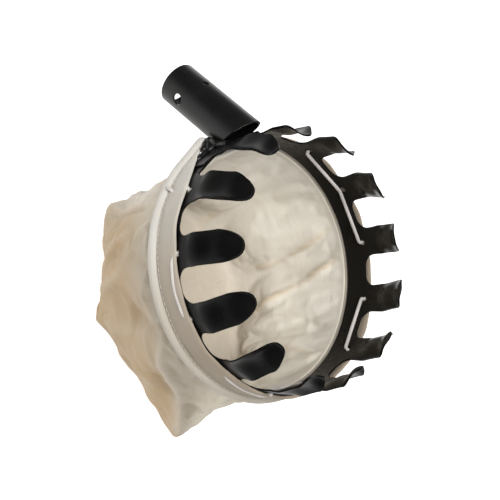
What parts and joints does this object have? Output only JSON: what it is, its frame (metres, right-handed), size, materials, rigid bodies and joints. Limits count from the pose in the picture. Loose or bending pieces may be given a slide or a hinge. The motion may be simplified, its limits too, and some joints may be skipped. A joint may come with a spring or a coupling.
{
  "type": "fruit picker head",
  "caption": "Fruit picker head: a rolled steel ring with curved plucking fingers, a slanted pole socket welded to its band and a laced cotton bag that catches the fruit.",
  "frame": {"origin": "centre of the pole socket's open mouth", "axes": "+Z the way the fingers point, square to the ring; +X from the socket's mouth towards the ring; the socket's axis lies in the XZ plane"},
  "size_m": [0.2449, 0.1773, 0.1665],
  "materials": {
    "black_paint": "satin black paint",
    "cotton": "unbleached cotton",
    "cotton_roll": "unbleached cotton",
    "rope": "cotton rope",
    "cord": "white twisted cord"
  },
  "bodies": {
    "root": {"picking_ring": "black_paint", "socket_tube": "black_paint", "weld_bead_near": "black_paint", "weld_bead_far": "black_paint", "bag_body": "cotton", "bag_hem": "cotton", "hem_roll": "cotton_roll", "hem_rope": "rope", "lacing_cord": "cord"}
  },
  "joints": []
}
